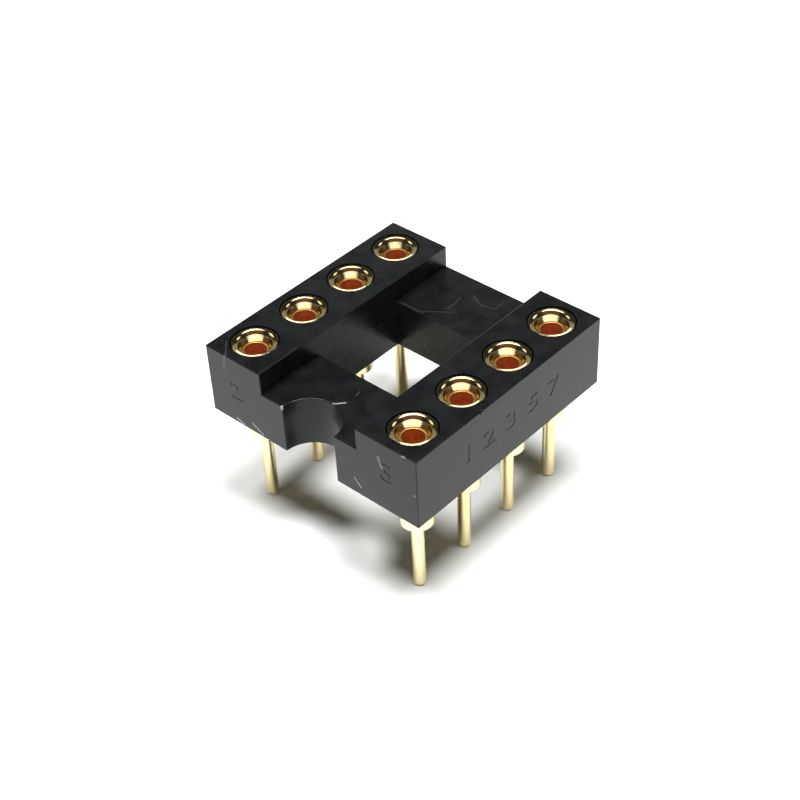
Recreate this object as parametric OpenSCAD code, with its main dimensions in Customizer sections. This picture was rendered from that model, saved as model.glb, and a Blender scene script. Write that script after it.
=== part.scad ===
// Dual in-line IC socket with eight turned contacts.
// A moulded housing holds two rows of turned sleeves, each with a solder tail
// below the board, and a four-finger clip pressed into every sleeve grips one
// lead of the chip.
// Millimetres. X crosses the two rows, Y runs along them away from the notched
// end, Z is up. The origin is at the middle of the socket, level with the tips
// of the tails.

/* [Contact grid] */
// Distance between neighbouring contacts of a row
pitch = 2.54; // [2.4:0.01:3.2]
// Distance between the two rows
row_spacing = 7.62; // [7.2:0.01:15.24]

/* [Housing] */
// Height of the rails
housing_h = 3.0; // [2.6:0.05:5]
// From a row's centre line to the housing's side
side_margin = 1.25; // [1.1:0.01:2]
// From a row's centre line to the rail's inner wall
inner_margin = 1.51; // [1.1:0.01:1.6]
// From the last contact of a row to the housing's end
end_margin = 1.27; // [1.1:0.01:2]
// Length of each cross-bar along the rows
bar_l = 2.98; // [1.8:0.01:3]
// How far the cross-bars lie below the rail tops
bar_drop = 0.92; // [0.3:0.01:1.2]
// Radius of the half-round notch that marks the end with contact 1
notch_r = 1.25; // [0.6:0.01:1.5]
// Bevel along the outer edges of the rails
edge_bevel = 0.05; // [0.02:0.01:0.1]

/* [Sleeve] */
// Radius of the head
head_r = 0.87; // [0.82:0.01:1]
// Thickness of the head
head_h = 0.45; // [0.35:0.01:0.8]
// How far the head's face lies below the rail top
head_recess = 0.03; // [0.01:0.01:0.15]
// Slope of the head's face where it leaves the rim, in degrees
lip_slope = 14; // [2:1:20]
// Radius of the lip's rounding
lip_r = 0.42; // [0.35:0.01:0.55]
// Tighter radius where the lip turns down into the countersink
throat_r = 0.35; // [0.2:0.01:0.45]
// Outer radius of the barrel
barrel_r = 0.65; // [0.6:0.01:0.75]
// Length of the barrel that stands below the housing
standoff_h = 1.3; // [0.4:0.05:2.5]
// Radius of the bore that holds the clip
bore_r = 0.5; // [0.44:0.01:0.54]
// Depth of the bore below the head's face
bore_h = 3.2; // [2.8:0.05:3.4]
// How far the retaining barb stands out of the barrel
barb_rise = 0.05; // [0.02:0.01:0.1]
// Length of the barb's taper
barb_h = 0.5; // [0.2:0.05:0.8]
// From the head's underside to the barb
barb_drop = 0.9; // [0.5:0.05:1.2]
// Radius of the solder tail
tail_r = 0.25; // [0.2:0.01:0.35]
// Length of the solder tail
tail_l = 3.1; // [2:0.05:6]
// Bevel at the tip of the tail
tip_bevel = 0.1; // [0.04:0.01:0.15]
// Bevel on the turned edges of the head and the barrel
turned_bevel = 0.04; // [0.02:0.01:0.06]

/* [Clip] */
// Wall thickness of the clip
clip_wall = 0.08; // [0.05:0.01:0.1]
// How far the clip's rim lies below the foot of the countersink
clip_drop = 0.01; // [0:0.01:0.1]
// Height of the clip's unslotted ring
ring_h = 0.7; // [0.4:0.05:1]
// Length of the fingers
finger_l = 1.55; // [1:0.05:1.7]
// Radius left free between the fingers where they grip a lead
grip_r = 0.19; // [0.14:0.01:0.24]
// Length of the fingers' flared ends, below the grip
flare_l = 0.2; // [0.1:0.01:0.3]
// How far the flared ends open again
flare_rise = 0.05; // [0.02:0.01:0.08]
// Width of the slots between the fingers
slot_w = 0.12; // [0.08:0.01:0.16]

/* [Fits] */
// Gap around the head in its recess
head_gap = 0.05; // [0.02:0.01:0.08]
// Gap around the barrel and its barb, pressed into the housing
press_gap = 0.005; // [0.005:0.001:0.02]
// Gap around the clip, pressed into its sleeve
clip_gap = 0.005; // [0.005:0.001:0.02]

/* [Hidden] */
// Contacts in each row, and in the whole socket
ROW_COUNT = 4;
CONTACTS = 2 * ROW_COUNT;
// Number of fingers on a clip
FINGERS = 4;
// Slopes where the lip's rounding tightens, and of the countersink, in degrees
THROAT_SLOPE = 34;
SINK_SLOPE = 60;
// Straight runs that make up each rounding of the lip
LIP_STEPS = 5;
// Half the angle of the drill point at the end of the bore
DRILL_HALF_ANGLE = 59;
// How far a cutting shape runs past the face that it cuts
OVERRUN = 0.5;
$fn = 64;

housing_w = row_spacing + 2 * side_margin;
housing_l = (ROW_COUNT - 1) * pitch + 2 * end_margin;
rail_w = side_margin + inner_margin;

// Levels above the tips of the tails
shoulder_z = tail_l;
floor_z = shoulder_z + standoff_h;
top_z = floor_z + housing_h;
bar_z = top_z - bar_drop;
head_z = top_z - head_recess;
seat_z = head_z - head_h;
barb_z = seat_z - barb_drop;

// An arc in a half section, from one slope to another, that starts at a point
// and runs in and down.
function arc_points(start, radius, slope_a, slope_b) = [
    for (i = [0:LIP_STEPS])
        let (slope = slope_a + (slope_b - slope_a) * i / LIP_STEPS) [
            start[0] - radius * (sin(slope) - sin(slope_a)),
            start[1] - radius * (cos(slope_a) - cos(slope))
        ]
];
lip_arc = arc_points([head_r - turned_bevel, head_z], lip_r, lip_slope, THROAT_SLOPE);
throat_arc = arc_points(lip_arc[LIP_STEPS], throat_r, THROAT_SLOPE, SINK_SLOPE);
lip_points = concat(lip_arc, [for (i = [1:LIP_STEPS]) throat_arc[i]]);
mouth_z = lip_points[len(lip_points) - 1][1]
    - (lip_points[len(lip_points) - 1][0] - bore_r) * tan(SINK_SLOPE);
bore_z = head_z - bore_h;
rim_z = mouth_z - clip_drop;
ring_z = rim_z - ring_h;
finger_z = ring_z - finger_l;
grip_z = finger_z + flare_l;

clip_r = bore_r - clip_gap;

// Contacts are counted round the socket from the notched end, first up the +X
// row and then back down the -X row.
function contact_x(n) = (n <= ROW_COUNT ? 1 : -1) * row_spacing / 2;
function contact_y(n) =
    ((n <= ROW_COUNT ? n - 1 : CONTACTS - n) - (ROW_COUNT - 1) / 2) * pitch;

module at_contact(n) {
    translate([contact_x(n), contact_y(n), 0]) children();
}

// A block on its centre whose upper and outer edges are bevelled.
module bevelled_block(w, l, low, high) {
    module profile(across) {
        polygon([
            [-across / 2, low],
            [across / 2, low],
            [across / 2, high - edge_bevel],
            [across / 2 - edge_bevel, high],
            [-across / 2 + edge_bevel, high],
            [-across / 2, high - edge_bevel]
        ]);
    }
    intersection() {
        rotate([90, 0, 0]) linear_extrude(l, center = true) profile(w);
        rotate([90, 0, 90]) linear_extrude(w, center = true) profile(l);
    }
}

module rails() {
    for (side = [-1, 1])
        translate([side * (housing_w - rail_w) / 2, 0, 0])
            bevelled_block(rail_w, housing_l, floor_z, top_z);
}

// The bars reach to the middle of each rail, so that they are one with it.
module cross_bars() {
    for (end = [-1, 1])
        translate([0, end * (housing_l - bar_l) / 2, (floor_z + bar_z) / 2])
            cube([row_spacing, bar_l, bar_z - floor_z], center = true);
}

module end_notch() {
    translate([0, -housing_l / 2, floor_z - OVERRUN])
        cylinder(r = notch_r, h = housing_h + 2 * OVERRUN);
}

// The barb's taper, from its sharp upper step down to the barrel.
module barb(gap = 0) {
    translate([0, 0, barb_z - barb_h])
        cylinder(r1 = barrel_r + gap, r2 = barrel_r + barb_rise + gap, h = barb_h);
}

// The stepped hole that seats a head and grips a barrel.
module contact_hole() {
    translate([0, 0, seat_z])
        cylinder(r = head_r + head_gap, h = head_h + head_recess + OVERRUN);
    translate([0, 0, floor_z - OVERRUN])
        cylinder(r = barrel_r + press_gap, h = seat_z - floor_z + 2 * OVERRUN);
    barb(press_gap);
}

module housing() {
    color("#1b1b1d") difference() {
        union() {
            rails();
            cross_bars();
        }
        end_notch();
        for (n = [1:CONTACTS]) at_contact(n) contact_hole();
    }
}

// Half the section of the turned sleeve: in over the lip and down the bore, then
// back up the outside.
module sleeve_section() {
    polygon(concat(lip_points, [
        [bore_r, mouth_z],
        [bore_r, bore_z],
        [0, bore_z - bore_r / tan(DRILL_HALF_ANGLE)],
        [0, 0],
        [tail_r - tip_bevel, 0],
        [tail_r, tip_bevel],
        [tail_r, shoulder_z],
        [barrel_r - turned_bevel, shoulder_z],
        [barrel_r, shoulder_z + turned_bevel],
        [barrel_r, seat_z],
        [head_r, seat_z],
        [head_r, head_z - turned_bevel]
    ]));
}

module pin_sleeve() {
    color("#e3c25a") {
        rotate_extrude() sleeve_section();
        difference() {
            barb();
            translate([0, 0, barb_z - barb_h - OVERRUN])
                cylinder(r = (barrel_r + bore_r) / 2, h = barb_h + 2 * OVERRUN);
        }
    }
}

// Half the section of the clip, a ring above and fingers that close on the lead.
module clip_section() {
    polygon([
        [clip_r, rim_z],
        [clip_r, ring_z],
        [grip_r + clip_wall, grip_z],
        [grip_r + flare_rise + clip_wall, finger_z],
        [grip_r + flare_rise, finger_z],
        [grip_r, grip_z],
        [clip_r - clip_wall, ring_z],
        [clip_r - clip_wall, rim_z]
    ]);
}

module contact_clip() {
    color("#c98f3c") difference() {
        rotate_extrude() clip_section();
        for (slot = [0:FINGERS - 1])
            rotate([0, 0, slot * 360 / FINGERS])
                translate([0, -slot_w / 2, finger_z - OVERRUN])
                    cube([bore_r, slot_w, finger_l + OVERRUN]);
    }
}

housing();
for (n = [1:CONTACTS]) {
    at_contact(n) pin_sleeve();
    at_contact(n) contact_clip();
}
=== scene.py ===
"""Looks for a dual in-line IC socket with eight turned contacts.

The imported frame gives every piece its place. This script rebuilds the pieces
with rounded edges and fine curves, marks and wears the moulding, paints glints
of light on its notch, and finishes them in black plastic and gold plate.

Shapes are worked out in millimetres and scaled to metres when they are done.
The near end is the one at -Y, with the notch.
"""
import math

import bmesh
import bpy
from mathutils import Matrix, Vector


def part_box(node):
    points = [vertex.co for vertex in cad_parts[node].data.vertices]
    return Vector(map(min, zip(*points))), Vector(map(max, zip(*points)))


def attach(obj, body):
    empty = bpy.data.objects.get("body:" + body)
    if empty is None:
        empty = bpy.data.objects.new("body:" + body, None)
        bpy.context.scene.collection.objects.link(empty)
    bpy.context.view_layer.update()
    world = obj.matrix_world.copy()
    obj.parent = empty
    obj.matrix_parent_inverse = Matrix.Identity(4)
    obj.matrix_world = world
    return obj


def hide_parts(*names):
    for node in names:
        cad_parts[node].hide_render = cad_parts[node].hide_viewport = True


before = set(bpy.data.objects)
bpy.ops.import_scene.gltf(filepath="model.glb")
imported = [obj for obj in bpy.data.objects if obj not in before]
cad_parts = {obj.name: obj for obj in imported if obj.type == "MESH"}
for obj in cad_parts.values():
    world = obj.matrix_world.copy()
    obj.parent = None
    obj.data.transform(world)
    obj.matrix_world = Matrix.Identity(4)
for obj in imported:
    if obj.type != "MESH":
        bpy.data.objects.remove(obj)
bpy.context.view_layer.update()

MM = 0.001


def box_mm(node):
    """The lowest and highest corner of a CAD node, in millimetres."""
    low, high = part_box(node)
    return Vector(low) / MM, Vector(high) / MM


# ---------------------------------------------------------------- sizes (mm)
# One contact for each sleeve in the frame
CONTACTS = range(1, 1 + sum(node.startswith("pin_sleeve_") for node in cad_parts))

HOUSING_LOW, HOUSING_HIGH = box_mm("housing")
SLEEVE_LOW, SLEEVE_HIGH = box_mm("pin_sleeve_1")
CLIP_LOW, CLIP_HIGH = box_mm("contact_clip_1")

# The housing, with the sizes of the part's source
INNER_MARGIN = 1.51
BAR_LENGTH = 2.98
BAR_DROP = 0.92
NOTCH_RADIUS = 1.25
HEAD_GAP = 0.05
PRESS_GAP = 0.005
TOP_Z = HOUSING_HIGH.z
BAR_Z = TOP_Z - BAR_DROP
UNDERSIDE_Z = HOUSING_LOW.z
NEAR_Y = HOUSING_LOW.y
SIDE_X = HOUSING_HIGH.x

# Its rounded edges, finer than the bevel in the source
OUTER_EDGE = 0.035
OUTER_EDGE_STEPS = 4

# The turned sleeve, with the sizes of the part's source
HEAD_RADIUS = (SLEEVE_HIGH.x - SLEEVE_LOW.x) / 2
HEAD_Z = SLEEVE_HIGH.z
HEAD_HEIGHT = 0.45
SEAT_Z = HEAD_Z - HEAD_HEIGHT
BARREL_RADIUS = 0.65
BORE_RADIUS = 0.5
BORE_DEPTH = 3.2
BORE_Z = HEAD_Z - BORE_DEPTH
DRILL_HALF_ANGLE = math.radians(59)
TIP_Z = SLEEVE_LOW.z
TAIL_RADIUS = 0.25
TAIL_LENGTH = 3.1
SHOULDER_Z = TIP_Z + TAIL_LENGTH

# Its roundings: the tail's tip and root, and the shoulder's edge
TIP_ROUNDING = 0.12
ROOT_ROUNDING = 0.04
SHOULDER_ROUNDING = 0.1

# Its lip: an edge, a sloping face, then arcs as radius and the tilt at their ends
RIM_EDGE = 0.025
LIP_TILT = math.radians(14)
LIP_FACE = 0.06
LIP_ARCS = ((0.28, math.radians(34)), (0.25, math.radians(60)))

# The clip, with the sizes of the part's source
CLIP_RADIUS = (CLIP_HIGH.x - CLIP_LOW.x) / 2
RIM_Z = CLIP_HIGH.z
FINGER_Z = CLIP_LOW.z
CLIP_WALL = 0.08
RING_HEIGHT = 0.7
GRIP_RADIUS = 0.19
FLARE_LENGTH = 0.2
FLARE_RISE = 0.05
SLOT_WIDTH = 0.12
FINGERS = 4

# Its softened edges
CLIP_EDGE = 0.03
CLIP_EDGE_STEPS = 2

# How fine the curves are
ROUND_SEGMENTS = 96
BARREL_HOLE_SEGMENTS = 64
ROUNDING_STEPS = 5
LIP_STEPS = 8
FINGER_COLUMNS = 14
FINGER_ROWS = 8
TYPE_STEPS = 4
BALL_SUBDIVISIONS = 3

# How far a cutter reaches past what it cuts
PAST = 1.0

# Vertices closer than this are one: in type, and in the housing after its cuts
TYPE_MERGE = 1e-5
HOUSING_MERGE = 1e-4

# Angles between faces: flat enough to join, corners to round, and edges left sharp
JOINED_ANGLE = math.radians(0.2)
CORNER_ANGLE = math.radians(30)
CLIP_CORNER_ANGLE = math.radians(50)
SHARP_ANGLE = math.radians(32)
SLEEVE_SHARP_ANGLE = math.radians(25)

# Plain numbers sunk into the near ends and the side at +X
NUMBER_DEPTH = 0.015
NUMBER_SPREAD = 1.3
STROKE_GROWTH = 0.015
CAP_SHARE = 0.7
SIDE_NUMBER_HEIGHT = 0.72
SIDE_NUMBER_DROP = 1.46

# Each number: text, height, middle and outward direction
END_NUMBERS = (
    ("2", 0.7, (-3.65, NEAR_Y, TOP_Z - 1.5), (0, -1, 0)),
    ("3", 0.85, (3.72, NEAR_Y, TOP_Z - 1.25), (0, -1, 0)),
)
SIDE_NUMBERS = tuple(
    (text, SIDE_NUMBER_HEIGHT, (SIDE_X, y, TOP_Z - SIDE_NUMBER_DROP), (1, 0, 0))
    for text, y in (("1", -2.45), ("2", -1.3), ("3", -0.1), ("5", 1.15), ("7", 2.3))
)
NUMBERS = END_NUMBERS + SIDE_NUMBERS

# A small nick in the top outer edge of the rail at +X
NICK_RADIUS = 0.13
NICK_MIDDLE = (SIDE_X + 0.03, -1.69, TOP_Z + 0.01)

# Scratches, bruises and painted glints: start and end as x, y and depth below the top, width,
# strength
END_SCRATCHES = (
    ((-4.62, -4.45, 0), (-4.0, NEAR_Y, 0), 0.07, 0.05),
    ((-4.06, NEAR_Y, 0), (-4.19, NEAR_Y, 0.68), 0.09, 0.12),
    ((-3.8, NEAR_Y, 2.8), (-3.45, NEAR_Y, 2.9), 0.12, 0.6),
    ((-2.97, NEAR_Y, 2.61), (-2.45, NEAR_Y, 2.87), 0.08, 0.7),
    ((2.12, NEAR_Y, 2.31), (2.43, NEAR_Y, 2.63), 0.07, 0.6),
    ((3.33, NEAR_Y, 0.72), (3.47, NEAR_Y, 1.1), 0.15, 0.28),
    ((4.43, NEAR_Y, 0.05), (4.56, NEAR_Y, 0.04), 0.1, 0.4),
    ((4.93, NEAR_Y, 1.53), (4.93, NEAR_Y, 1.56), 0.1, 0.5),
)
# Painted glints where light catches the notch's left corner, its rim and its right wall; the last
# entry is a real scratch on the near bar
NOTCH_GLINTS_AND_SCRATCH = (
    ((-1.28, NEAR_Y, 0.94), (-1.27, NEAR_Y, 1.02), 0.16, 0.6),
    ((-1.0, -4.46, BAR_DROP), (-0.8, -4.22, BAR_DROP), 0.09, 0.4),
    ((0.03, -3.8, BAR_DROP), (0.14, -3.73, BAR_DROP), 0.1, 0.4),
    ((0.14, -3.73, BAR_DROP), (0.33, -3.49, BAR_DROP), 0.08, 0.55),
    ((1.2, -4.75, 1.0), (1.22, -4.8, 1.5), 0.2, 0.12),
    ((0.35, -2.99, BAR_DROP), (0.31, -2.72, BAR_DROP), 0.06, 0.08),
)

# Faint lines on the far bar, as x and y, all of one width and strength
FAINT_WIDTH = 0.1
FAINT_STRENGTH = 0.03
FAINT_LINES = (
    ((-2.08, 2.18), (-1.15, 2.18), (-0.66, 2.57), (-0.13, 2.92)),
    ((-0.46, 2.93), (-0.46, 3.4), (-0.55, 3.81)),
    ((-0.16, 4.19), (0.35, 3.91), (0.96, 4.06), (0.94, 4.58)),
)
FAINT_SCRATCHES = tuple(
    ((*start, BAR_DROP), (*end, BAR_DROP), FAINT_WIDTH, FAINT_STRENGTH)
    for line in FAINT_LINES
    for start, end in zip(line, line[1:])
)
WEAR_AND_GLINTS = END_SCRATCHES + NOTCH_GLINTS_AND_SCRATCH + FAINT_SCRATCHES


def contact_centre(number):
    """The axis of a contact, from the box of its sleeve, in millimetres."""
    low, high = box_mm(f"pin_sleeve_{number}")
    return Vector(((low.x + high.x) / 2, (low.y + high.y) / 2, 0))


CENTRES = {number: contact_centre(number) for number in CONTACTS}
RAIL_INNER_X = CENTRES[1].x - INNER_MARGIN


# ------------------------------------------------------------ making meshes
def new_object(name, data):
    obj = bpy.data.objects.new(name, data)
    bpy.context.scene.collection.objects.link(obj)
    return obj


def object_from(name, bm):
    """An object with this mesh, its faces turned outwards."""
    bmesh.ops.recalc_face_normals(bm, faces=bm.faces)
    mesh = bpy.data.meshes.new(name)
    bm.to_mesh(mesh)
    bm.free()
    return new_object(name, mesh)


def shown_mesh(obj):
    """A new mesh of the object as it shows, with its modifiers worked out."""
    graph = bpy.context.evaluated_depsgraph_get()
    graph.update()
    return bpy.data.meshes.new_from_object(obj.evaluated_get(graph))


def apply_modifiers(obj):
    """Makes what the modifiers show into the object's own mesh."""
    mesh, old = shown_mesh(obj), obj.data
    obj.modifiers.clear()
    obj.data = mesh
    bpy.data.meshes.remove(old)


def smooth_shade(obj, sharp_angle=SHARP_ANGLE):
    """Smooth shading that keeps flat faces flat and edges over the angle sharp."""
    mesh = obj.data
    mesh.shade_smooth()
    mesh.set_sharp_from_angle(angle=sharp_angle)
    weighted = obj.modifiers.new("flat_faces", "WEIGHTED_NORMAL")
    weighted.keep_sharp = True


def finished(obj, cad_node, material):
    """Scales a shape made in millimetres, hangs it on its body and finishes it."""
    obj.data.transform(Matrix.Scale(MM, 4))
    obj.location = obj.location * MM
    obj.data.materials.clear()
    obj.data.materials.append(material)
    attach(obj, "root")
    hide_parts(cad_node)
    return obj


def around_z(radius, angle, z):
    return (radius * math.cos(angle), radius * math.sin(angle), z)


def rounded_path(corners):
    """Corners (across, up, radius) joined by straight runs, with an arc at each radius."""
    path = []
    for i, (across, up, radius) in enumerate(corners):
        here = Vector((across, up))
        if radius == 0:
            path.append(here)
            continue
        back = (Vector(corners[i - 1][:2]) - here).normalized()
        on = (Vector(corners[i + 1][:2]) - here).normalized()
        half = back.angle(on) / 2
        centre = here + (back + on).normalized() * radius / math.sin(half)
        start = here + back * radius / math.tan(half) - centre
        end = here + on * radius / math.tan(half) - centre
        turn = end.angle_signed(start)
        for step in range(ROUNDING_STEPS + 1):
            angle = turn * step / ROUNDING_STEPS
            cos, sin = math.cos(angle), math.sin(angle)
            spoke = Vector((start.x * cos - start.y * sin, start.x * sin + start.y * cos))
            path.append(centre + spoke)
    return path


def lathe(name, path):
    """A closed turned shape about Z, from a path that starts and ends on the axis."""
    bm = bmesh.new()
    rings = []
    for radius, z in path:
        count = ROUND_SEGMENTS if radius > 0 else 1
        turns = [2 * math.pi * i / ROUND_SEGMENTS for i in range(count)]
        rings.append([bm.verts.new(around_z(radius, turn, z)) for turn in turns])
    for ring, next_ring in zip(rings, rings[1:]):
        for i in range(ROUND_SEGMENTS):
            j = (i + 1) % ROUND_SEGMENTS
            corners = [
                ring[i % len(ring)],
                ring[j % len(ring)],
                next_ring[j % len(next_ring)],
                next_ring[i % len(next_ring)],
            ]
            # On the axis two corners are one, and the face is a triangle
            bm.faces.new(list(dict.fromkeys(corners)))
    return object_from(name, bm)


def box_shape(low, high, name="cutter"):
    bm = bmesh.new()
    bmesh.ops.create_cube(bm, size=1)
    size = [b - a for a, b in zip(low, high)]
    middle = [(a + b) / 2 for a, b in zip(low, high)]
    bmesh.ops.scale(bm, vec=size, verts=bm.verts)
    bmesh.ops.translate(bm, vec=middle, verts=bm.verts)
    return object_from(name, bm)


def cylinder_shape(centre, radius, low, high, segments=ROUND_SEGMENTS):
    bm = bmesh.new()
    bmesh.ops.create_cone(
        bm, cap_ends=True, segments=segments, radius1=radius, radius2=radius, depth=high - low
    )
    bmesh.ops.translate(bm, vec=(centre[0], centre[1], (low + high) / 2), verts=bm.verts)
    return object_from("cutter", bm)


def ball_shape(centre, radius):
    bm = bmesh.new()
    bmesh.ops.create_icosphere(bm, subdivisions=BALL_SUBDIVISIONS, radius=radius)
    bmesh.ops.translate(bm, vec=centre, verts=bm.verts)
    return object_from("cutter", bm)


def number_shape(text, height, middle, outward):
    """Type across a face, reaching as far out of it as into it.

    Its faces keep the sides that the type gives them. Working these out again
    turns some over, which spoils the cut.
    """
    curve = bpy.data.curves.new("number", "FONT")
    curve.body = text
    curve.size = height / CAP_SHARE
    curve.extrude = NUMBER_DEPTH
    curve.offset = STROKE_GROWTH
    curve.align_x = "CENTER"
    curve.align_y = "CENTER"
    curve.resolution_u = TYPE_STEPS
    type_object = new_object("number", curve)
    mesh = shown_mesh(type_object)
    bpy.data.objects.remove(type_object)
    bm = bmesh.new()
    bm.from_mesh(mesh)
    bmesh.ops.remove_doubles(bm, verts=bm.verts, dist=TYPE_MERGE)
    bmesh.ops.scale(bm, vec=(NUMBER_SPREAD, 1, 1), verts=bm.verts)
    up, outward = Vector((0, 0, 1)), Vector(outward)
    turn = Matrix((up.cross(outward), up, outward)).transposed().to_4x4()
    bm.transform(Matrix.Translation(middle) @ turn)
    bm.to_mesh(mesh)
    bm.free()
    return new_object("cutter", mesh)


def cut(obj, cutter):
    """Takes the cutter away from the object, and removes the cutter."""
    step = obj.modifiers.new("cut", "BOOLEAN")
    step.operation = "DIFFERENCE"
    step.solver = "EXACT"
    step.object = cutter
    apply_modifiers(obj)
    bpy.data.objects.remove(cutter)


# ---------------------------------------------------------------- materials
# Scales of noise, in features per metre
MOTTLE_SCALE = 1400
GRAIN_SCALE = 22000
FLOW_SCALE = 350
RAGGED_SCALE = 14000
STAIN_SCALE = 2200
TOOL_MARK_SCALE = 30000

# Most of a noise lies in this range
NOISE_RANGE = (0.3, 0.7)

# The plastic: its tones, its roughness over the mottle, what the grain adds, its relief
PLASTIC_DARK = (0.0025, 0.0028, 0.003, 1)
PLASTIC_LIGHT = (0.005, 0.0055, 0.006, 1)
# The scraped tone is also the colour of the painted glints
PLASTIC_SCRAPED_AND_GLINT = (0.5, 0.51, 0.5, 1)
TONE_RANGE = (0.35, 0.65)
PLASTIC_ROUGHNESS = (0.24, 0.3)
GRAIN_ROUGHNESS = 0.06
FLOW_RELIEF = 2.0
GRAIN_RELIEF = 0.12

# How far the edges of a mark wander, scratches and painted glints alike, and the share of its
# width that is at full strength
MARK_WANDER = 0.1
MARK_CORE = 1 / 3

# The gold: where its stains show, how they vary its roughness, and their relief
STAIN_RANGE = (0.45, 0.75)
STAIN_ROUGHNESS = (0.8, 1.3)
STAIN_RELIEF = 0.3

# Heights between which the gold goes over to its end colour: towards a sleeve's tail, where the
# paler gold is a painted highlight, and towards a clip's rim, where the darker gold is painted
# shade
TAIL_RANGE = (SHOULDER_Z + 0.9, SHOULDER_Z + 0.3)
RIM_RANGE = (RIM_Z - 0.15, RIM_Z - 0.02)


def new_material(name):
    material = bpy.data.materials.new(name)
    material.use_nodes = True
    tree = material.node_tree
    return material, tree, tree.nodes["Principled BSDF"]


def set_inputs(tree, node, inputs):
    """Sets a node's inputs to values, or links them to outputs of other nodes."""
    for key, value in inputs.items():
        if isinstance(value, bpy.types.NodeSocket):
            tree.links.new(value, node.inputs[key])
        else:
            node.inputs[key].default_value = value


def add(tree, kind, inputs, **settings):
    node = tree.nodes.new("ShaderNode" + kind)
    for key, value in settings.items():
        setattr(node, key, value)
    set_inputs(tree, node, inputs)
    return node


def math_node(tree, operation, *values, clamp=False):
    node = add(tree, "Math", dict(enumerate(values)), operation=operation, use_clamp=clamp)
    return node.outputs[0]


def weighted_sum(tree, *parts):
    """The sum of two outputs, each times its own weight."""
    products = [math_node(tree, "MULTIPLY", output, weight) for output, weight in parts]
    return math_node(tree, "ADD", *products)


def vector_node(tree, operation, first, second):
    """What a vector operation gives: a number for a product or distance, or a vector."""
    second_input = "Scale" if operation == "SCALE" else 1
    node = add(tree, "VectorMath", {0: first, second_input: second}, operation=operation)
    gives_number = operation in ("DOT_PRODUCT", "DISTANCE")
    return node.outputs["Value" if gives_number else "Vector"]


def coordinates(tree, output="Object"):
    return add(tree, "TexCoord", {}).outputs[output]


def noise(tree, where, scale, detail, output="Fac"):
    node = add(tree, "TexNoise", {"Vector": where, "Scale": scale, "Detail": detail})
    return node.outputs[output]


def spread(tree, value, low, high, to_low=0.0, to_high=1.0):
    """The value, with its range from low to high stretched over another range."""
    ranges = {"From Min": low, "From Max": high, "To Min": to_low, "To Max": to_high}
    return add(tree, "MapRange", {"Value": value, **ranges}).outputs["Result"]


def mixed(tree, share, first, second):
    """A colour that goes from the first to the second as the share goes from 0 to 1."""
    # The node's colours are its inputs 6 and 7 and its output 2
    node = add(tree, "Mix", {"Factor": share, 6: first, 7: second}, data_type="RGBA")
    return node.outputs[2]


def bumped(tree, height, strength, distance):
    """The normals of a surface with this height, in units of the distance in millimetres."""
    bump = {"Height": height, "Strength": strength, "Distance": distance * MM}
    return add(tree, "Bump", bump).outputs[0]


def mark_mask(tree, where, start, end, width, strength):
    """The strength along a mark from start to end, fading to nothing at its edges. Marks are
    scratches and painted glints.
    """
    origin = Vector((start[0], start[1], TOP_Z - start[2])) * MM
    run = Vector((end[0], end[1], TOP_Z - end[2])) * MM - origin
    offset = vector_node(tree, "SUBTRACT", where, origin)
    along = vector_node(tree, "DOT_PRODUCT", offset, run / run.length_squared)
    share = math_node(tree, "MULTIPLY", along, 1.0, clamp=True)
    nearest = vector_node(tree, "SCALE", run, share)
    gap = vector_node(tree, "DISTANCE", offset, nearest)
    half_width = width * MM / 2
    return spread(tree, gap, half_width, half_width * MARK_CORE, 0.0, strength)


def wear_and_glints(tree, where):
    """All the scratches and painted glints together, with uneven edges, as one mask."""
    ragged = noise(tree, where, RAGGED_SCALE, detail=3, output="Color")
    centred = vector_node(tree, "SUBTRACT", ragged, (0.5, 0.5, 0.5))
    shift = vector_node(tree, "SCALE", centred, MARK_WANDER * MM)
    uneven = vector_node(tree, "ADD", where, shift)
    worn_and_glinting = 0.0
    for mark in WEAR_AND_GLINTS:
        worn_and_glinting = math_node(tree, "MAXIMUM", worn_and_glinting, mark_mask(tree, uneven, *mark))
    return worn_and_glinting


def moulded_plastic():
    """Black glass-filled plastic: satin, faintly mottled, scratched where it was handled, with
    glints of light painted on the notch.
    """
    material, tree, shader = new_material("black_moulded_plastic")
    where = coordinates(tree)
    mottle = noise(tree, where, MOTTLE_SCALE, detail=4)
    grain = noise(tree, where, GRAIN_SCALE, detail=2)
    flow = noise(tree, where, FLOW_SCALE, detail=2)
    tone = mixed(tree, spread(tree, mottle, *TONE_RANGE), PLASTIC_DARK, PLASTIC_LIGHT)
    mottle_roughness = spread(tree, mottle, *NOISE_RANGE, *PLASTIC_ROUGHNESS)
    grain_roughness = spread(tree, grain, *NOISE_RANGE, 0.0, GRAIN_ROUGHNESS)
    height = weighted_sum(tree, (flow, FLOW_RELIEF), (grain, GRAIN_RELIEF))
    surface = {
        # The scraped tone paints both the scratches and the glints of light on the notch
        "Base Color": mixed(tree, wear_and_glints(tree, where), tone, PLASTIC_SCRAPED_AND_GLINT),
        "Roughness": math_node(tree, "ADD", mottle_roughness, grain_roughness),
        "IOR": 1.5,
        "Specular IOR Level": 0.285,
        "Specular Tint": (0.95, 1, 0.99, 1),
        "Normal": bumped(tree, height, strength=0.2, distance=0.02),
    }
    set_inputs(tree, shader, surface)
    return material


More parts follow.
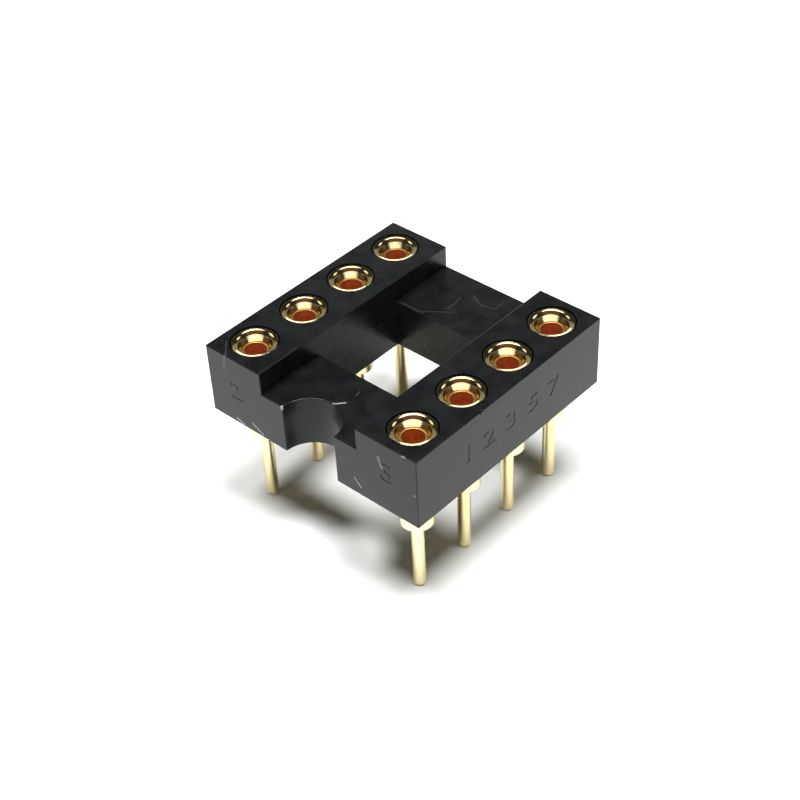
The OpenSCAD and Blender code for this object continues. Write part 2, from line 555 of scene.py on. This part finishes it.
def gold(name, colour, deep_colour, end_colour, end_range, roughness, tool_marks):
    """Gold plate over a turned or pressed part, stained, with tool marks around its axis.

    The colour goes over to the end colour between the two heights of the end range.
    """
    material, tree, shader = new_material(name)
    where = coordinates(tree)
    x, y, z = add(tree, "SeparateXYZ", {"Vector": where}).outputs
    radius = math_node(tree, "SQRT", weighted_sum(tree, (x, x), (y, y)))
    ring = {"W": math_node(tree, "ADD", z, radius), "Scale": TOOL_MARK_SCALE, "Detail": 2}
    rings = add(tree, "TexNoise", ring, noise_dimensions="1D").outputs["Fac"]
    stain = noise(tree, where, STAIN_SCALE, detail=4)
    tone = mixed(tree, spread(tree, stain, *STAIN_RANGE), colour, deep_colour)
    at_end = spread(tree, z, end_range[0] * MM, end_range[1] * MM)
    least, most = (roughness * share for share in STAIN_ROUGHNESS)
    height = weighted_sum(tree, (rings, tool_marks), (stain, STAIN_RELIEF))
    surface = {
        "Base Color": mixed(tree, at_end, tone, end_colour),
        "Metallic": 1.0,
        "Roughness": spread(tree, stain, *NOISE_RANGE, least, most),
        "Normal": bumped(tree, height, strength=0.5, distance=0.01),
    }
    set_inputs(tree, shader, surface)
    return material


def white_paper():
    material, tree, shader = new_material("white_paper")
    surface = {
        "Base Color": (0.86, 0.88, 0.87, 1),
        "Roughness": 0.7,
        "Specular IOR Level": 0.2,
    }
    set_inputs(tree, shader, surface)
    return material


PLASTIC = moulded_plastic()
SLEEVE_GOLD = gold(
    "gold_plated_sleeve",
    colour=(1.0, 0.84, 0.45, 1),
    deep_colour=(0.95, 0.76, 0.34, 1),
    # Painted highlight: the paler end colour makes the tails look as if they caught more of the
    # bright floor
    end_colour=(1.0, 0.86, 0.5, 1),
    end_range=TAIL_RANGE,
    roughness=0.11,
    tool_marks=0.2,
)
CLIP_GOLD = gold(
    "gold_plated_clip",
    colour=(0.98, 0.54, 0.32, 1),
    deep_colour=(0.75, 0.3, 0.15, 1),
    # Painted shade: the darker end colour keeps the clip's rim from showing as a bright ring
    end_colour=(0.6, 0.34, 0.1, 1),
    end_range=RIM_RANGE,
    roughness=0.34,
    tool_marks=0.1,
)


# ------------------------------------------------------------------ housing
def is_outer_edge(edge):
    """Whether an edge of the housing stands out and isn't the rim of a hole."""
    if len(edge.link_faces) != 2 or edge.calc_face_angle_signed() <= CORNER_ANGLE:
        return False
    middle = (edge.verts[0].co + edge.verts[1].co) / 2
    clear_of_hole = HEAD_RADIUS + 2 * HEAD_GAP
    return all((middle.xy - centre.xy).length >= clear_of_hole for centre in CENTRES.values())


def round_outer_edges(obj):
    """Joins what the cuts left in pieces, then rounds the outer edges."""
    bm = bmesh.new()
    bm.from_mesh(obj.data)
    bmesh.ops.remove_doubles(bm, verts=bm.verts, dist=HOUSING_MERGE)
    bmesh.ops.dissolve_limit(bm, angle_limit=JOINED_ANGLE, verts=bm.verts, edges=bm.edges)
    bmesh.ops.recalc_face_normals(bm, faces=bm.faces)
    bmesh.ops.bevel(
        bm,
        geom=[edge for edge in bm.edges if is_outer_edge(edge)],
        offset=OUTER_EDGE,
        segments=OUTER_EDGE_STEPS,
        profile=0.5,
        affect="EDGES",
        clamp_overlap=True,
    )
    bm.to_mesh(obj.data)
    bm.free()


def housing():
    """Two rails and two lower cross-bars round a window, with the stepped holes."""
    over_z, under_z = TOP_Z + PAST, UNDERSIDE_Z - PAST
    window_y = HOUSING_HIGH.y - BAR_LENGTH
    obj = box_shape(HOUSING_LOW, HOUSING_HIGH, "housing_moulding")
    above_bars = box_shape(
        (-RAIL_INNER_X, NEAR_Y - PAST, BAR_Z),
        (RAIL_INNER_X, HOUSING_HIGH.y + PAST, over_z),
    )
    cut(obj, above_bars)
    cut(obj, box_shape((-RAIL_INNER_X, -window_y, under_z), (RAIL_INNER_X, window_y, TOP_Z)))
    cut(obj, cylinder_shape((0, NEAR_Y), NOTCH_RADIUS, under_z, over_z))
    barrel_hole = BARREL_RADIUS + PRESS_GAP
    for centre in CENTRES.values():
        cut(obj, cylinder_shape(centre, barrel_hole, under_z, over_z, BARREL_HOLE_SEGMENTS))
        cut(obj, cylinder_shape(centre, HEAD_RADIUS + HEAD_GAP, SEAT_Z, over_z))
    round_outer_edges(obj)
    for number in NUMBERS:
        cut(obj, number_shape(*number))
    cut(obj, ball_shape(NICK_MIDDLE, NICK_RADIUS))
    smooth_shade(obj)
    return finished(obj, "housing", PLASTIC)


# ----------------------------------------------------------------- contacts
def lip_path():
    """The head's rim: a small outer edge, then roundings that steepen into the countersink."""
    path = []
    for step in range(LIP_STEPS + 1):
        angle = (math.pi / 2 + LIP_TILT) * step / LIP_STEPS
        across = HEAD_RADIUS - RIM_EDGE * (1 - math.cos(angle))
        path.append(Vector((across, HEAD_Z - RIM_EDGE * (1 - math.sin(angle)))))
    tilt = LIP_TILT
    path.append(path[-1] - Vector((LIP_FACE, LIP_FACE * math.tan(tilt))))
    for radius, last_tilt in LIP_ARCS:
        start, first_tilt = path[-1], tilt
        for step in range(1, LIP_STEPS + 1):
            tilt = first_tilt + (last_tilt - first_tilt) * step / LIP_STEPS
            across = start.x - radius * (math.sin(tilt) - math.sin(first_tilt))
            up = start.y - radius * (math.cos(first_tilt) - math.cos(tilt))
            path.append(Vector((across, up)))
    cone_width = path[-1].x - BORE_RADIUS
    path.append(Vector((BORE_RADIUS, path[-1].y - cone_width * math.tan(tilt))))
    return path


def sleeve(number):
    """A turned sleeve, from the tip of its tail up the outside and down its bore."""
    outside = [
        (0, TIP_Z, 0),
        (TAIL_RADIUS, TIP_Z, TIP_ROUNDING),
        (TAIL_RADIUS, SHOULDER_Z, ROOT_ROUNDING),
        (BARREL_RADIUS, SHOULDER_Z, SHOULDER_ROUNDING),
        (BARREL_RADIUS, SEAT_Z, 0),
        (HEAD_RADIUS, SEAT_Z, 0),
    ]
    drill_point = BORE_Z - BORE_RADIUS / math.tan(DRILL_HALF_ANGLE)
    bore = [Vector((BORE_RADIUS, BORE_Z)), Vector((0, drill_point))]
    obj = lathe(f"turned_sleeve_{number}", rounded_path(outside) + lip_path() + bore)
    obj.location = CENTRES[number]
    smooth_shade(obj, SLEEVE_SHARP_ANGLE)
    return finished(obj, f"pin_sleeve_{number}", SLEEVE_GOLD)


def clip_rows():
    """The clip's outside from the rim down: radius, height, and whether slots lead to it."""
    ring_z = RIM_Z - RING_HEIGHT
    grip_z = FINGER_Z + FLARE_LENGTH
    grip_outer = GRIP_RADIUS + CLIP_WALL
    rows = [(CLIP_RADIUS, z, False) for z in (RIM_Z, (RIM_Z + ring_z) / 2, ring_z)]
    for step in range(1, FINGER_ROWS + 1):
        share = step / FINGER_ROWS
        radius = CLIP_RADIUS + (grip_outer - CLIP_RADIUS) * share
        rows.append((radius, ring_z + (grip_z - ring_z) * share, True))
    rows.append((grip_outer + FLARE_RISE, FINGER_Z, True))
    return rows


def clip(number):
    """A clip: a ring, and fingers between slots of one width that close on the lead."""
    bm = bmesh.new()
    grid = []
    for radius, z, slotted in clip_rows():
        half_slot = math.asin(SLOT_WIDTH / 2 / radius)
        sweep = 2 * math.pi / FINGERS - 2 * half_slot
        ring = []
        for finger in range(FINGERS):
            first = finger * 2 * math.pi / FINGERS + half_slot
            for column in range(FINGER_COLUMNS + 1):
                angle = first + sweep * column / FINGER_COLUMNS
                ring.append(bm.verts.new(around_z(radius, angle, z)))
        grid.append((ring, slotted))
    for (upper, _), (lower, slotted) in zip(grid, grid[1:]):
        for i in range(len(upper)):
            over_slot = i % (FINGER_COLUMNS + 1) == FINGER_COLUMNS
            if not (slotted and over_slot):
                j = (i + 1) % len(upper)
                bm.faces.new([upper[i], lower[i], lower[j], upper[j]])
    obj = object_from(f"finger_clip_{number}", bm)
    wall = obj.modifiers.new("wall", "SOLIDIFY")
    wall.thickness = CLIP_WALL
    wall.offset = -1
    wall.use_even_offset = True
    edges = obj.modifiers.new("edges", "BEVEL")
    edges.width = CLIP_EDGE
    edges.segments = CLIP_EDGE_STEPS
    edges.limit_method = "ANGLE"
    edges.angle_limit = CLIP_CORNER_ANGLE
    apply_modifiers(obj)
    obj.location = CENTRES[number]
    smooth_shade(obj)
    return finished(obj, f"contact_clip_{number}", CLIP_GOLD)


housing()
sleeves = [sleeve(number) for number in CONTACTS]
for number in CONTACTS:
    clip(number)


# ------------------------------------------------------- floor, light, camera
# The floor's radius in metres, and how far below the tails' tips it lies in millimetres
FLOOR_RADIUS = 0.6
FLOOR_DROP = 0.002

# The room's brightness at the horizon and above, and the heights between which it fades
HORIZON_GLOW = 0.35
ROOM_GLOW = 0.02
HORIZON_RANGE = (0.05, 0.3)

# How far off the lights stand, in metres, and their colours
LIGHT_DISTANCE = 0.5
WHITE = (1, 1, 1)
ORANGE = (1, 0.38, 0.22)

# Lights: name, azimuth, elevation, half angles across and up in degrees, brightness, colour
STRONG_LIGHTS = (
    ("overhead", 105, 79, (11, 11), 34, WHITE),
    ("overhead_left", 315, 74, (7, 7), 53, WHITE),
)
REFLECTORS = (
    ("overhead_back", 224, 73, (18, 7), 4, WHITE),
    ("side_left", 278, 42, (10, 10), 1.1, WHITE),
    ("side_right", 165, 42, (10, 10), 1.1, WHITE),
    ("high_front", 44, 66, (35, 28), 0.12, ORANGE),
    ("low_front", 44, 22, (58, 10), 1.4, WHITE),
    ("high_back", 224, 24, (32, 8), 0.25, WHITE),
    ("low_back", 224, 12, (9, 11), 2.2, WHITE),
)

# The camera: its aim and distance in millimetres, its angles in degrees, its lens
CAMERA_AIM = (0, -0.367, 4.4)
CAMERA_DISTANCE = 59.76
CAMERA_AZIMUTH = 43.67
CAMERA_ELEVATION = 39.705
CAMERA_ROLL = -3.025
SENSOR_WIDTH = 36
LENS = 72.22


def floor():
    bm = bmesh.new()
    bmesh.ops.create_circle(bm, cap_ends=True, segments=ROUND_SEGMENTS, radius=FLOOR_RADIUS)
    obj = object_from("floor", bm)
    obj.data.materials.append(white_paper())
    obj.location.z = -FLOOR_DROP * MM
    return obj


def room():
    """A dim room with a white horizon."""
    world = bpy.data.worlds.new("studio")
    world.use_nodes = True
    tree = world.node_tree
    split = add(tree, "SeparateXYZ", {"Vector": coordinates(tree, "Generated")})
    glow = spread(tree, split.outputs["Z"], *HORIZON_RANGE, HORIZON_GLOW, ROOM_GLOW)
    set_inputs(tree, tree.nodes["Background"], {"Color": (1, 1, 1, 1), "Strength": glow})
    bpy.context.scene.world = world


def direction(azimuth, elevation):
    """From the object towards a viewer at these angles, the azimuth counted from -Y towards +X."""
    a, e = math.radians(azimuth), math.radians(elevation)
    return Vector((math.sin(a) * math.cos(e), -math.cos(a) * math.cos(e), math.sin(e)))


def leaving_out(name, objects):
    """A collection for lights that don't fall on these objects."""
    collection = bpy.data.collections.new(name)
    for obj in objects:
        collection.objects.link(obj)
    for entry in collection.collection_objects:
        entry.light_linking.link_state = "EXCLUDE"
    return collection


def softbox(name, azimuth, elevation, half_angles, brightness, colour, receivers):
    """An oval light that fills a cone of directions, so wide and so high, with one brightness."""
    light = bpy.data.lights.new(name, "AREA")
    light.shape = "ELLIPSE"
    half_sizes = [LIGHT_DISTANCE * math.tan(math.radians(half)) for half in half_angles]
    light.size, light.size_y = (2 * half_size for half_size in half_sizes)
    light.color = colour
    area = math.pi * light.size * light.size_y / 4
    light.energy = brightness * math.pi * area
    obj = new_object(name, light)
    obj.visible_camera = False
    towards = direction(azimuth, elevation)
    obj.location = towards * LIGHT_DISTANCE
    obj.rotation_euler = towards.to_track_quat("Z", "Y").to_euler()
    obj.light_linking.receiver_collection = receivers


def lights(ground, turned_pieces):
    """Strong lights that leave out the turned pieces, and reflectors that leave out the ground."""
    not_on_turned = leaving_out("dulled", turned_pieces)
    not_on_ground = leaving_out("flagged", [ground])
    for light in STRONG_LIGHTS:
        softbox(*light, not_on_turned)
    for light in REFLECTORS:
        softbox(*light, not_on_ground)


def camera():
    """The viewpoint, a little above the middle of the socket."""
    data = bpy.data.cameras.new("camera")
    data.sensor_width = SENSOR_WIDTH
    data.lens = LENS
    data.clip_start = 0.001
    data.clip_end = 10
    obj = new_object("camera", data)
    towards = direction(CAMERA_AZIMUTH, CAMERA_ELEVATION)
    place = Vector(CAMERA_AIM) * MM + towards * (CAMERA_DISTANCE * MM)
    roll = Matrix.Rotation(math.radians(CAMERA_ROLL), 3, "Z")
    turned = towards.to_track_quat("Z", "Y").to_matrix() @ roll
    obj.matrix_world = Matrix.Translation(place) @ turned.to_4x4()
    bpy.context.scene.camera = obj


paper_floor = floor()
room()
lights(paper_floor, sleeves)
bpy.context.scene.view_settings.view_transform = "Standard"
camera()
